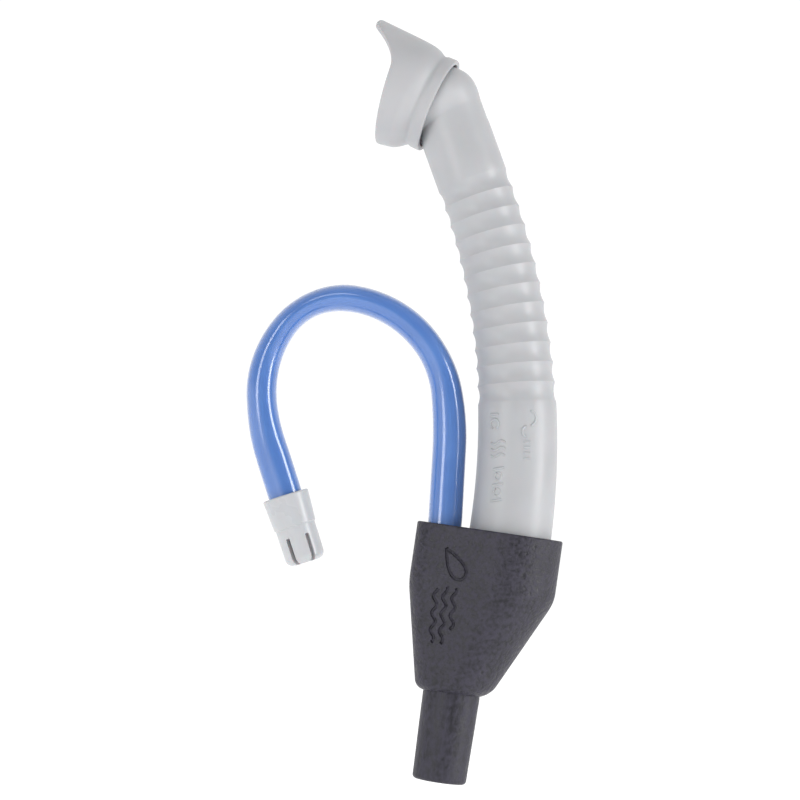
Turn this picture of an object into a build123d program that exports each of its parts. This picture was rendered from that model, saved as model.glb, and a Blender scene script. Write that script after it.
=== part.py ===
"""Dual suction adapter with a bendable saliva ejector and a curved suction cannula.

Millimetres, +Z up along the outlet spigot, origin at the centre of the spigot's lower end. Both
sockets open upwards. The saliva ejector arches towards -X in the plane y = 0. The cannula leans
the same way, but stands turned in its socket, so that its mouth also points a little towards +Y.
"""

import os
from math import cos, radians, sin, sqrt

from build123d import *

os.makedirs("parts", exist_ok=True)

# Outlet spigot, for an 11 mm suction hose
SPIGOT_RADIUS = 5.5
SPIGOT_STRAIGHT = 13.0
SPIGOT_SHOULDER_RADIUS = 5.64
SPIGOT_BORE_RADIUS = 4.2
SPIGOT_END_ROUNDING = 0.5
JOURNAL_RADIUS = 5.6
JOURNAL_TOP = 27.0
SNAP_BEAD_Z = 25.2
SNAP_BEAD_RADIUS = 6.1
SNAP_BEAD_HALF_HEIGHT = 0.8
RUNNING_GAP = 0.05
STOP_GAP = 0.3

# Adapter housing
LIP_Z = 17.4
WAIST_Z = 38.0
TOP_Z = 50.2
LIP_LARGE_X, LIP_LARGE_RADIUS = 0.35, 6.9
LIP_SMALL_X, LIP_SMALL_RADIUS = -1.2, 6.0
BODY_LARGE_X, BODY_LARGE_RADIUS = 7.0, 10.5
BODY_SMALL_X, BODY_SMALL_RADIUS = -6.1, 5.4
LIP_ROUNDING = 1.4
LIP_ROUNDING_STEPS = 4
WAIST_EASE = 0.9
TOP_ROUNDING = 0.4
CHAMBER_FLOOR_Z = JOURNAL_TOP + STOP_GAP
CHAMBER_OUTLET_RADIUS = 4.4
EJECTOR_DUCT_FOOT_X = -1.7

# Cannula socket and cannula
CANNULA_X = BODY_LARGE_X
CANNULA_YAW = 7.5
CANNULA_STOP_Z = 36.5
CANNULA_RADIUS = 8.15
CANNULA_END_RADIUS = 7.1
CANNULA_WALL = 1.35
CANNULA_BEND_RADIUS = 143.0
CANNULA_BEND = 28.0
CANNULA_TOP_RUN = 17.0
RIB_COUNT = 12
RIB_PITCH = 3.8
RIB_DEPTH = 0.38
RIB_START = 39.3

# Shield on the cannula's elbow; distances along the mouth's axis are from the collar's centre
ELBOW_TURN = 45.8
COLLAR_OFFSET = 2.05
COLLAR_RIM = -0.3
COLLAR_RADIUS = 9.75
COLLAR_BORE_RADIUS = 8.8
WEB_START, WEB_END = 1.5, 3.0
NECK_RADIUS = 7.0
NECK_BEAD_RADIUS = 7.45
NECK_TIP_RADIUS = 6.7
NECK_END = 4.7
BEAD_GAP = 0.2
SHIELD_WALL = 1.1
# Outside of the shield: (distance, rise of the section's centre, radius)
SHIELD_SECTIONS = [(2.4, 0.0, 9.75), (5.0, -0.35, 10.95), (7.5, -0.45, 11.3), (18.4, -0.6, 11.9)]
# Edge of the mouth, as (distance, height above the axis): slanted below, then the beak's sweep
MOUTH_FOOT = (8.4, -10.8)
MOUTH_SWEEP = [(10.0, 1.8), (13.1, 7.0), (16.3, 9.2)]
BEAK_END = (17.35, 9.8)
MOUTH_CUT_FAR, MOUTH_CUT_HEIGHT = 30.0, 13.0

# Saliva ejector: tube, wire and socket
EJECTOR_X = BODY_SMALL_X
EJECTOR_STOP_Z = 36.0
TUBE_RADIUS = 3.4
TUBE_WALL = 1.1
WIRE_RADIUS = 0.35
WIRE_DEPTH = 0.55
# Each bend is (radius, turn in degrees), met in order after the run that stands in the socket
MOUTH_BEND = (20.0, 5.0)
RISER_RUN = 12.7
TUBE_BENDS = [(60.0, 11.0), (22.0, 74.0), (14.5, 60.0), (21.5, 41.0), (40.0, 15.0)]
TIP_RUN = 9.4
TUBE_IN_TIP = 6.0
# The tube's width in the plane of its bends, at distances from its lower end
TUBE_WIDTHS = [(0.0, 6.8), (31.0, 6.7), (51.0, 5.7), (68.0, 5.4), (78.0, 4.9), (98.0, 6.0),
               (112.0, 6.8), (130.0, 6.8)]
# Where the wire-stiffened tube gives, as distances from its lower end
BEND_PIVOTS = [31.0, 68.0, 99.0]
BEND_GAP = 1.9
LENGTH_NAMES = ["riser", "rear_arch", "front_arch", "drop"]

# Seals in the sockets
SEAL_GAP = 0.03
CANNULA_SEAL_Z = 41.5
CANNULA_SEAL_THICKNESS = 0.87
EJECTOR_SEAL_Z = 46.2
EJECTOR_SEAL_GAP = 0.1
EJECTOR_SEAL_THICKNESS = 0.68
SPIGOT_SEAL_Z = 20.6
SPIGOT_SEAL_THICKNESS = 0.68
SEAL_HEIGHT = 1.4
SEAL_CORNER = 0.25

# Slotted tip
TIP_COLLAR_RADIUS = 4.65
TIP_STEP_RADIUS = 4.0
TIP_COLLAR_LENGTH = 6.4
BASKET_LENGTH = 7.5
BASKET_END_RADIUS = 3.75
BASKET_WALL = 0.95
BASKET_ROUNDING = 0.8
SLOT_COUNT = 6
SLOT_WIDTH = 0.75
SLOT_START = 2.0
SLOT_INNER_RADIUS = 1.7


def bend_plane(x, yaw):
    """Upright plane through a socket's axis: local X leans out of the socket, local Y is up."""
    lean = (-cos(radians(yaw)), sin(radians(yaw)), 0)
    square = (sin(radians(yaw)), cos(radians(yaw)), 0)
    return Plane(origin=(x, 0, 0), x_dir=lean, z_dir=square)


def along(path, distance):
    """The point on a path at a distance along it, and the heading there."""
    point = path.position_at(distance, position_mode=PositionMode.LENGTH)
    heading = path.tangent_at(distance, position_mode=PositionMode.LENGTH)
    return point, heading


def oval(point, heading, long_axis, long_radius, short_radius, shift=0.0):
    """An ellipse square to a heading, its centre shifted along its long axis."""
    with BuildSketch(Plane(origin=point, x_dir=long_axis, z_dir=heading)) as section:
        with Locations((shift, 0)):
            Ellipse(long_radius, short_radius)
    return section.sketch


def housing_outline(z, inset=0.0):
    """The housing's outline on a level plane: the hull of a large and a small circle.

    The circles grow from the lip to the waist and stay the same above it.
    """
    part_way = min(1.0, (z - LIP_Z) / (WAIST_Z - LIP_Z))
    large_x = LIP_LARGE_X + (BODY_LARGE_X - LIP_LARGE_X) * part_way
    large_radius = LIP_LARGE_RADIUS + (BODY_LARGE_RADIUS - LIP_LARGE_RADIUS) * part_way
    small_x = LIP_SMALL_X + (BODY_SMALL_X - LIP_SMALL_X) * part_way
    small_radius = LIP_SMALL_RADIUS + (BODY_SMALL_RADIUS - LIP_SMALL_RADIUS) * part_way
    with BuildSketch(Plane.XY.offset(z)) as outline:
        with Locations((large_x, 0)):
            Circle(large_radius - inset)
        with Locations((small_x, 0)):
            Circle(small_radius - inset)
        make_hull()
    return outline.sketch


def seal_section(axis_x, inner_radius, thickness, z):
    """Half section of a seal ring, on the upright plane through its axis."""
    with BuildSketch(Plane.XZ) as section:
        with Locations((axis_x + inner_radius + thickness / 2, z)):
            RectangleRounded(thickness, SEAL_HEIGHT, SEAL_CORNER)
    return section.sketch


def between(distance, table):
    """Reads a width from a table of (distance, width), easing from one entry to the next."""
    for (start, first), (end, last) in zip(table, table[1:]):
        if start <= distance <= end:
            part_way = (distance - start) / (end - start)
            eased = part_way * part_way * (3 - 2 * part_way)
            return first + (last - first) * eased
    raise ValueError("distance outside the table")


def spread(start, end, steps):
    """Evenly spaced values from start to end, both included."""
    return [start + (end - start) * i / steps for i in range(steps + 1)]


# --- Outlet spigot: hose end, journal and snap bead ---
seal_half = SEAL_HEIGHT / 2
with BuildPart() as outlet_spigot:
    with BuildSketch(Plane.XZ) as spigot_profile:
        with BuildLine():
            Polyline(
                (SPIGOT_BORE_RADIUS, 0),
                (SPIGOT_RADIUS, 0),
                (SPIGOT_RADIUS, SPIGOT_STRAIGHT),
                (SPIGOT_SHOULDER_RADIUS, LIP_Z - STOP_GAP),
                (JOURNAL_RADIUS, LIP_Z),
                (JOURNAL_RADIUS, SNAP_BEAD_Z - SNAP_BEAD_HALF_HEIGHT),
                (SNAP_BEAD_RADIUS, SNAP_BEAD_Z - SNAP_BEAD_HALF_HEIGHT / 2),
                (SNAP_BEAD_RADIUS, SNAP_BEAD_Z),
                (JOURNAL_RADIUS, SNAP_BEAD_Z + SNAP_BEAD_HALF_HEIGHT),
                (JOURNAL_RADIUS, JOURNAL_TOP),
                (SPIGOT_BORE_RADIUS, JOURNAL_TOP),
                close=True,
            )
        make_face()
    revolve(axis=Axis.Z)
    fillet(outlet_spigot.edges().group_by(Axis.Z)[0].sort_by(SortBy.RADIUS)[-1], SPIGOT_END_ROUNDING)
    seal_seat = JOURNAL_RADIUS + RUNNING_GAP - SPIGOT_SEAL_THICKNESS - SEAL_GAP
    with BuildSketch(Plane.XZ):
        with Locations((seal_seat + SPIGOT_SEAL_THICKNESS, SPIGOT_SEAL_Z)):
            Rectangle(2 * SPIGOT_SEAL_THICKNESS, SEAL_HEIGHT + 4 * SEAL_GAP)
    revolve(axis=Axis.Z, mode=Mode.SUBTRACT)
outlet_spigot.part.label = "outlet_spigot"

with BuildPart() as spigot_seal:
    add(seal_section(0, seal_seat, SPIGOT_SEAL_THICKNESS, SPIGOT_SEAL_Z))
    revolve(axis=Axis.Z)
spigot_seal.part.label = "spigot_seal"


# --- Adapter housing: tapered lower part, two-socket head, chamber where both flows meet ---
journal_bore = JOURNAL_RADIUS + RUNNING_GAP
cannula_bore = CANNULA_RADIUS + RUNNING_GAP
ejector_bore = TUBE_RADIUS + RUNNING_GAP
with BuildPart() as adapter_housing:
    head_foot_z = WAIST_Z + WAIST_EASE
    with BuildSketch(Plane.XY.offset(head_foot_z)):
        add(housing_outline(head_foot_z))
    extrude(amount=TOP_Z - head_foot_z)
    fillet(adapter_housing.edges().group_by(Axis.Z)[-1], TOP_ROUNDING)
    lower_outlines = []
    for step in range(LIP_ROUNDING_STEPS + 1):
        around = radians(90 * step / LIP_ROUNDING_STEPS)
        rise = LIP_ROUNDING * (1 - cos(around))
        lower_outlines.append(housing_outline(LIP_Z + rise, LIP_ROUNDING * (1 - sin(around))))
    lower_outlines.append(housing_outline(WAIST_Z - WAIST_EASE))
    lower_outlines.append(housing_outline(head_foot_z))
    loft(sections=lower_outlines, ruled=True)

    # Journal bore with the groove that the spigot's bead snaps into
    with BuildSketch(Plane.XY.offset(LIP_Z)):
        Circle(journal_bore)
    extrude(amount=CHAMBER_FLOOR_Z - LIP_Z, mode=Mode.SUBTRACT)
    with BuildSketch(Plane.XY.offset(SNAP_BEAD_Z - SNAP_BEAD_HALF_HEIGHT - STOP_GAP)):
        Circle(SNAP_BEAD_RADIUS + STOP_GAP)
    extrude(amount=2 * (SNAP_BEAD_HALF_HEIGHT + STOP_GAP), mode=Mode.SUBTRACT)

    # Sockets
    with BuildSketch(Plane.XY.offset(CANNULA_STOP_Z)):
        with Locations((CANNULA_X, 0)):
            Circle(cannula_bore)
    extrude(amount=TOP_Z - CANNULA_STOP_Z, mode=Mode.SUBTRACT)
    with BuildSketch(Plane.XY.offset(EJECTOR_STOP_Z)):
        with Locations((EJECTOR_X, 0)):
            Circle(ejector_bore)
    extrude(amount=TOP_Z - EJECTOR_STOP_Z, mode=Mode.SUBTRACT)

    # Seal grooves
    with BuildSketch(Plane.XY.offset(CANNULA_SEAL_Z - seal_half - STOP_GAP)):
        with Locations((CANNULA_X, 0)):
            Circle(CANNULA_RADIUS + 2 * SEAL_GAP + CANNULA_SEAL_THICKNESS)
    extrude(amount=SEAL_HEIGHT + 2 * STOP_GAP, mode=Mode.SUBTRACT)
    with BuildSketch(Plane.XY.offset(EJECTOR_SEAL_Z - seal_half - STOP_GAP)):
        with Locations((EJECTOR_X, 0)):
            Circle(TUBE_RADIUS + EJECTOR_SEAL_GAP + EJECTOR_SEAL_THICKNESS + SEAL_GAP)
    extrude(amount=SEAL_HEIGHT + 2 * STOP_GAP, mode=Mode.SUBTRACT)

    # Ducts from the socket floors to the spigot
    with BuildSketch(Plane.XY.offset(CANNULA_STOP_Z)) as cannula_duct_top:
        with Locations((CANNULA_X, 0)):
            Circle(CANNULA_RADIUS - CANNULA_WALL)
    with BuildSketch(Plane.XY.offset(CHAMBER_FLOOR_Z)) as chamber_outlet:
        Circle(CHAMBER_OUTLET_RADIUS)
    loft(sections=[chamber_outlet.sketch, cannula_duct_top.sketch], ruled=True, mode=Mode.SUBTRACT)
    with BuildSketch(Plane.XY.offset(EJECTOR_STOP_Z)) as ejector_duct_top:
        with Locations((EJECTOR_X, 0)):
            Circle(TUBE_RADIUS - TUBE_WALL)
    with BuildSketch(Plane.XY.offset(CHAMBER_FLOOR_Z)) as ejector_duct_foot:
        with Locations((EJECTOR_DUCT_FOOT_X, 0)):
            Circle(TUBE_RADIUS - TUBE_WALL)
    loft(
        sections=[ejector_duct_foot.sketch, ejector_duct_top.sketch],
        ruled=True,
        mode=Mode.SUBTRACT,
    )
adapter_housing.part.label = "adapter_housing"


# --- Seals that grip the two tubes ---
with BuildPart() as cannula_seal:
    add(seal_section(CANNULA_X, CANNULA_RADIUS + SEAL_GAP, CANNULA_SEAL_THICKNESS, CANNULA_SEAL_Z))
    revolve(axis=Axis((CANNULA_X, 0, 0), (0, 0, 1)))
cannula_seal.part.label = "cannula_seal"

with BuildPart() as ejector_seal:
    inner_radius = TUBE_RADIUS + EJECTOR_SEAL_GAP
    add(seal_section(EJECTOR_X, inner_radius, EJECTOR_SEAL_THICKNESS, EJECTOR_SEAL_Z))
    revolve(axis=Axis((EJECTOR_X, 0, 0), (0, 0, 1)))
ejector_seal.part.label = "ejector_seal"


# --- Suction cannula: tapered bent tube, grip ribs, elbow and neck ---
cannula_plane = bend_plane(CANNULA_X, CANNULA_YAW)
cannula_side = cannula_plane.z_dir
cannula_foot_z = CANNULA_STOP_Z + STOP_GAP
with BuildLine() as cannula_line:
    run = Line((0, cannula_foot_z), (0, TOP_Z))
    run = JernArc(
        start=run @ 1, tangent=run % 1, radius=CANNULA_BEND_RADIUS, arc_size=-CANNULA_BEND
    )
    run = PolarLine(start=run @ 1, length=CANNULA_TOP_RUN, direction=run % 1)
cannula_path = cannula_line.wire().moved(cannula_plane.location)
cannula_length = cannula_path.length

elbow = cannula_path.position_at(1)
tube_direction = cannula_path.tangent_at(1)
mouth_direction = tube_direction.rotate(Axis((0, 0, 0), cannula_side), -ELBOW_TURN)
mitre_direction = tube_direction.rotate(Axis((0, 0, 0), cannula_side), -ELBOW_TURN / 2)
collar_centre = elbow + mouth_direction * COLLAR_OFFSET
# Square to the mouth's axis; local X points up and back, local Y is the bend plane's normal
collar_plane = Plane(
    origin=collar_centre, x_dir=cannula_side.cross(mouth_direction), z_dir=mouth_direction
)


def cannula_radius(distance):
    """Outer radius of the cannula: full size in the socket, then tapering to the elbow."""
    socket_length = TOP_Z - cannula_foot_z
    taper = max(0.0, distance - socket_length) / (cannula_length - socket_length)
    return CANNULA_RADIUS + (CANNULA_END_RADIUS - CANNULA_RADIUS) * min(1.0, 1.25 * taper)


def cannula_ring(distance, inset):
    """Round section of the cannula at a distance along it, inset from its outer radius."""
    radius = cannula_radius(distance) - inset
    point, heading = along(cannula_path, distance)
    return oval(point, heading, cannula_side.cross(heading), radius, radius)


def mitre_ring(radius):
    """The section where the tube and the neck meet at the elbow."""
    stretched = radius / cos(radians(ELBOW_TURN / 2))
    return oval(elbow, mitre_direction, cannula_side.cross(mitre_direction), stretched, radius)


def mouth_ring(distance, radius, rise=0.0):
    """Round section square to the mouth's axis, its centre raised off that axis."""
    centre = collar_centre + mouth_direction * distance
    return oval(centre, mouth_direction, collar_plane.x_dir, radius, radius, rise)


with BuildPart() as cannula_tube:
    plain_stations = [0.0] + spread(TOP_Z - cannula_foot_z, RIB_START, 4)
    rings = [cannula_ring(distance, 0) for distance in plain_stations]
    for rib in range(RIB_COUNT):
        valley = RIB_START + (rib + 0.5) * RIB_PITCH
        rings.append(cannula_ring(valley, RIB_DEPTH))
        rings.append(cannula_ring(valley + RIB_PITCH / 2, 0))
    rings.append(mitre_ring(NECK_RADIUS))
    rings.append(mouth_ring(WEB_END + BEAD_GAP, NECK_RADIUS))
    rings.append(mouth_ring(WEB_END + 2 * BEAD_GAP, NECK_BEAD_RADIUS))
    rings.append(mouth_ring(NECK_END, NECK_TIP_RADIUS))
    loft(sections=rings, ruled=True)
    bore_stations = spread(0.0, cannula_length - CANNULA_TOP_RUN, 8)
    bores = [cannula_ring(distance, CANNULA_WALL) for distance in bore_stations]
    bores.append(mitre_ring(NECK_RADIUS - CANNULA_WALL))
    bores.append(mouth_ring(NECK_END, NECK_RADIUS - CANNULA_WALL))
    loft(sections=bores, ruled=True, mode=Mode.SUBTRACT)
cannula_tube.part.label = "cannula_tube"


# --- Shield: collar that turns on the neck, flared cup and protective beak ---
def cup_rings(inset):
    """Sections of the shield's cup, inset from its outside."""
    return [mouth_ring(away, radius - inset, rise) for away, rise, radius in SHIELD_SECTIONS]


with BuildPart() as cannula_shield:
    with BuildSketch(collar_plane.offset(COLLAR_RIM)):
        Circle(COLLAR_RADIUS)
    extrude(amount=SHIELD_SECTIONS[0][0] - COLLAR_RIM)
    loft(sections=cup_rings(0), ruled=True)
    # Collar bore up to the web, bearing through the web, hollow cup beyond it
    with BuildSketch(collar_plane.offset(COLLAR_RIM)):
        Circle(COLLAR_BORE_RADIUS)
    extrude(amount=WEB_START - COLLAR_RIM, mode=Mode.SUBTRACT)
    with BuildSketch(collar_plane.offset(WEB_START)):
        Circle(NECK_RADIUS + RUNNING_GAP)
    extrude(amount=WEB_END - WEB_START, mode=Mode.SUBTRACT)
    cup_start = mouth_ring(WEB_END, COLLAR_RADIUS - SHIELD_WALL)
    loft(sections=[cup_start] + cup_rings(SHIELD_WALL)[1:], ruled=True, mode=Mode.SUBTRACT)
    # The mouth: slanted below, sweeping out into the beak above
    mouth_side = Plane(origin=collar_centre, x_dir=mouth_direction, z_dir=cannula_side)
    with BuildSketch(mouth_side):
        with BuildLine():
            Line(MOUTH_FOOT, MOUTH_SWEEP[0])
            Spline(MOUTH_SWEEP, tangents=((0.13, 1), (1, 0.58)))
            Polyline(
                MOUTH_SWEEP[-1],
                BEAK_END,
                (BEAK_END[0], MOUTH_CUT_HEIGHT),
                (MOUTH_CUT_FAR, MOUTH_CUT_HEIGHT),
                (MOUTH_CUT_FAR, -MOUTH_CUT_HEIGHT),
                (MOUTH_FOOT[0], -MOUTH_CUT_HEIGHT),
                MOUTH_FOOT,
            )
        make_face()
    extrude(amount=MOUTH_CUT_HEIGHT, both=True, mode=Mode.SUBTRACT)
cannula_shield.part.label = "cannula_shield"


# --- Saliva ejector: tube in four lengths that bend against each other, with a wire in its wall ---
ejector_plane = bend_plane(EJECTOR_X, 0)
ejector_side = ejector_plane.z_dir
tube_foot_z = EJECTOR_STOP_Z + STOP_GAP
with BuildLine() as ejector_line:
    run = Line((0, tube_foot_z), (0, TOP_Z))
    run = JernArc(start=run @ 1, tangent=run % 1, radius=MOUTH_BEND[0], arc_size=-MOUTH_BEND[1])
    run = PolarLine(start=run @ 1, length=RISER_RUN, direction=run % 1)
    for radius, turn in TUBE_BENDS:
        run = JernArc(start=run @ 1, tangent=run % 1, radius=radius, arc_size=-turn)
    run = PolarLine(start=run @ 1, length=TIP_RUN + TUBE_IN_TIP, direction=run % 1)
ejector_path = ejector_line.wire().moved(ejector_plane.location)
tube_length = ejector_path.length


def tube_oval(distance, inset):
    """Section of the tube, inset from its outside: squeezed flatter where it is bent tighter."""
    point, heading = along(ejector_path, distance)
    width = between(distance, TUBE_WIDTHS)
    return oval(point, heading, ejector_side, side_radius(width) - inset, width / 2 - inset)


def side_radius(width):
    """Half the tube's breadth where its width is squeezed: its girth stays the same."""
    return sqrt(2 * TUBE_RADIUS**2 - (width / 2) ** 2)


def wire_section(distance, radius):
    """Round section of the wire, or of its hole, in the front wall of the tube."""
    point, heading = along(ejector_path, distance)
    shift = WIRE_DEPTH - side_radius(between(distance, TUBE_WIDTHS))
    return oval(point, heading, ejector_side, radius, radius, shift)


tube_ends = [0.0]
for pivot in BEND_PIVOTS:
    tube_ends += [pivot - BEND_GAP / 2, pivot + BEND_GAP / 2]
tube_ends.append(tube_length)

for index, length_name in enumerate(LENGTH_NAMES):
    first = tube_ends[2 * index]
    last = tube_ends[2 * index + 1]
    stations = spread(first, last, 7)
    with BuildPart() as tube:
        loft(sections=[tube_oval(distance, 0) for distance in stations])
        loft(sections=[tube_oval(distance, TUBE_WALL) for distance in stations], mode=Mode.SUBTRACT)
        wire_hole = [wire_section(distance, WIRE_RADIUS + RUNNING_GAP) for distance in stations]
        loft(sections=wire_hole, mode=Mode.SUBTRACT)
    tube.part.label = f"tube_{length_name}"
    with BuildPart() as wire:
        loft(sections=[wire_section(distance, WIRE_RADIUS) for distance in stations])
    wire.part.label = f"wire_{length_name}"
    export_step(tube.part, f"parts/{tube.part.label}.step")
    export_step(wire.part, f"parts/{wire.part.label}.step")


# --- Ejector tip: collar pushed on the tube and a slotted basket ---
tip_start, tip_direction = along(ejector_path, tube_length - TUBE_IN_TIP)
tip_plane = Plane(origin=tip_start, x_dir=ejector_side, z_dir=tip_direction)
tip_half_plane = Plane(origin=tip_plane.origin, x_dir=tip_plane.x_dir, z_dir=-tip_plane.y_dir)
tip_axis = Axis(tip_plane.origin, tip_plane.z_dir)
tip_length = TIP_COLLAR_LENGTH + BASKET_LENGTH
tube_end_radius = TUBE_WIDTHS[-1][1] / 2
with BuildPart() as ejector_tip:
    with BuildSketch(tip_half_plane):
        with BuildLine():
            Polyline(
                (tube_end_radius + RUNNING_GAP, 0),
                (TIP_COLLAR_RADIUS, 0),
                (TIP_STEP_RADIUS + 0.15, TIP_COLLAR_LENGTH),
                (TIP_STEP_RADIUS, TIP_COLLAR_LENGTH),
                (BASKET_END_RADIUS, tip_length),
                (0, tip_length),
                (0, tip_length - BASKET_WALL),
                (BASKET_END_RADIUS - BASKET_WALL, tip_length - BASKET_WALL),
                (TIP_STEP_RADIUS - BASKET_WALL, TIP_COLLAR_LENGTH),
                (TIP_STEP_RADIUS - BASKET_WALL, TUBE_IN_TIP + STOP_GAP),
                (tube_end_radius + RUNNING_GAP, TUBE_IN_TIP + STOP_GAP),
                close=True,
            )
        make_face()
    revolve(axis=tip_axis)
    end_edge = ejector_tip.edges().filter_by(GeomType.CIRCLE).sort_by(tip_axis)[-1]
    fillet(end_edge, BASKET_ROUNDING)
    slot_base = tip_plane.offset(TIP_COLLAR_LENGTH + SLOT_START)
    slot_length = 2 * (BASKET_END_RADIUS - SLOT_INNER_RADIUS)
    with BuildSketch(slot_base):
        with PolarLocations(BASKET_END_RADIUS, SLOT_COUNT, start_angle=180 / SLOT_COUNT):
            Rectangle(slot_length, SLOT_WIDTH)
    extrude(amount=BASKET_LENGTH, mode=Mode.SUBTRACT)
ejector_tip.part.label = "ejector_tip"


for piece in (
    outlet_spigot,
    spigot_seal,
    adapter_housing,
    cannula_seal,
    ejector_seal,
    cannula_tube,
    cannula_shield,
    ejector_tip,
):
    export_step(piece.part, f"parts/{piece.part.label}.step")
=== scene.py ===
"""Looks for the dual suction adapter.

Every visible piece is remade as a fine mesh on the CAD frame. The three seals, which the housing
hides, keep their CAD meshes.
"""

import math

import bmesh
import bpy
from mathutils import Matrix, Vector


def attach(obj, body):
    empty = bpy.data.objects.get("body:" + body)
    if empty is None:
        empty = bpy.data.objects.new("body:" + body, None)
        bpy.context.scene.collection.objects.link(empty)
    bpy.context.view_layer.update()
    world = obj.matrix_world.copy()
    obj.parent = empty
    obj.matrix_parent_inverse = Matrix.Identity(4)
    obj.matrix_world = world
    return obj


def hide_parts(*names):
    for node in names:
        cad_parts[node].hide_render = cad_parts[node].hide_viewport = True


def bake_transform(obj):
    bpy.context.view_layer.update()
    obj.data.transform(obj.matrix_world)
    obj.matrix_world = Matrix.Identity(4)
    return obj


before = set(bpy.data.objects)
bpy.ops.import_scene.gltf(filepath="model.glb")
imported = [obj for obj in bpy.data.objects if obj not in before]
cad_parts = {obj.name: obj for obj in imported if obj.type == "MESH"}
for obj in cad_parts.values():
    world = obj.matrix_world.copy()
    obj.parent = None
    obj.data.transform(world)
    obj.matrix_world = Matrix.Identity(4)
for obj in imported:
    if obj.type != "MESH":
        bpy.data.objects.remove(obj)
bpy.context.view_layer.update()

MM = 0.001
UP = Vector((0, 0, 1))
RIGHT = Vector((1, 0, 0))

# Driving sizes in millimetres, the same as the CAD part's
SPIGOT_RADIUS, SPIGOT_SHOULDER_RADIUS, SPIGOT_BORE = 5.33, 5.64, 4.2
JOURNAL_RADIUS, JOURNAL_TOP = 5.6, 27.0
LIP_Z, WAIST_Z, TOP_Z = 17.4, 38.0, 50.2
LIP_LARGE, LIP_SMALL = (0.35, 6.9), (-1.2, 6.0)
BODY_LARGE, BODY_SMALL = (7.0, 10.5), (-6.1, 5.4)
WAIST_EASE = 1.9
CHAMBER_FLOOR_Z = 27.3
CANNULA_X, CANNULA_YAW = 7.0, 7.5
CANNULA_STOP_Z, CANNULA_FOOT_Z = 36.5, 36.8
CANNULA_RADIUS, CANNULA_END_RADIUS, CANNULA_WALL = 8.15, 7.1, 1.35
CANNULA_BEND = 28.0
CANNULA_RUNS = [("line", TOP_Z - CANNULA_FOOT_Z), ("arc", 143.0, CANNULA_BEND), ("line", 17.0)]
RIB_START, RIB_COUNT, RIB_PITCH, RIB_DEPTH = 39.3, 12, 3.8, 0.38
ELBOW_TURN = math.radians(45.8)
COLLAR_OFFSET = 2.05
NECK_RADIUS, NECK_BEAD_RADIUS, NECK_END = 7.0, 7.45, 4.7
COLLAR_RIM, COLLAR_BORE, WEB_START, WEB_END = -0.3, 8.8, 1.5, 3.0
SHIELD_WALL = 1.1
EJECTOR_X, EJECTOR_STOP_Z, EJECTOR_FOOT_Z = -6.1, 36.0, 36.3
TUBE_RADIUS, TUBE_WALL = 3.4, 1.1
TUBE_RUNS = [
    ("line", TOP_Z - EJECTOR_FOOT_Z),
    ("arc", 20.0, 5.0),
    ("line", 12.7),
    ("arc", 60.0, 11.0),
    ("arc", 22.0, 74.0),
    ("arc", 14.5, 60.0),
    ("arc", 21.5, 41.0),
    ("arc", 40.0, 15.0),
    ("line", 15.4),
]
TUBE_WIDTHS = [(0.0, 6.8), (31.0, 6.7), (51.0, 5.7), (68.0, 5.4), (78.0, 4.9), (98.0, 6.0),
               (112.0, 6.8), (130.0, 6.8)]
TUBE_IN_TIP = 6.0
WIRE_RADIUS, WIRE_DEPTH = 0.35, 0.55
TIP_COLLAR_LENGTH, BASKET_LENGTH, BASKET_WALL = 6.4, 7.5, 0.95
SLOT_COUNT, SLOT_WIDTH, SLOT_START = 6, 0.85, 2.0


# --- Values and paths ---
def smooth(value):
    """Eases a share from 0 to 1."""
    share = min(1.0, max(0.0, value))
    return share * share * (3 - 2 * share)


def read(position, table, ease=False):
    """Reads a value from a table of (position, value), straight or eased between entries."""
    if position <= table[0][0]:
        return table[0][1]
    for (start, first), (end, last) in zip(table, table[1:]):
        if position <= end:
            share = (position - start) / (end - start)
            return first + (last - first) * (smooth(share) if ease else share)
    return table[-1][1]


def steps(start, end, count):
    """Evenly spaced values, both ends included."""
    return [start + (end - start) * i / count for i in range(count + 1)]


class Path:
    """Straight runs and tangent arcs in an upright plane, leaning from +Z towards a direction."""

    def __init__(self, foot, lean, runs):
        self.lean = lean
        self.side = lean.cross(UP)
        self.runs = []
        point, angle, start = foot.copy(), 0.0, 0.0
        for run in runs:
            turn = math.radians(run[2]) if run[0] == "arc" else 0.0
            length = run[1] * turn if run[0] == "arc" else run[1]
            self.runs.append((start, length, point, angle, turn))
            point, angle = self.walk(self.runs[-1], length)
            start += length
        self.length = start

    def heading(self, angle):
        return self.lean * math.sin(angle) + UP * math.cos(angle)

    def walk(self, run, distance):
        """The point and angle at a distance along one run."""
        start, length, point, angle, turn = run
        if turn == 0.0:
            return point + self.heading(angle) * distance, angle
        radius = length / turn
        end = angle + turn * distance / length
        out = self.lean * (math.cos(angle) - math.cos(end)) + UP * (math.sin(end) - math.sin(angle))
        return point + out * radius, end

    def at(self, distance):
        """The point and heading at a distance along the whole path."""
        run = [r for r in self.runs if r[0] <= distance + 1e-9][-1]
        point, angle = self.walk(run, distance - run[0])
        return point, self.heading(angle)


# --- Meshes ---
def ring(centre, across, side, across_radius, side_radius, count=96):
    """Points of an ellipse, starting on the across axis and turning towards side."""
    turns = [2 * math.pi * i / count for i in range(count)]
    return [
        centre + across * (across_radius * math.cos(t)) + side * (side_radius * math.sin(t))
        for t in turns
    ]


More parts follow.
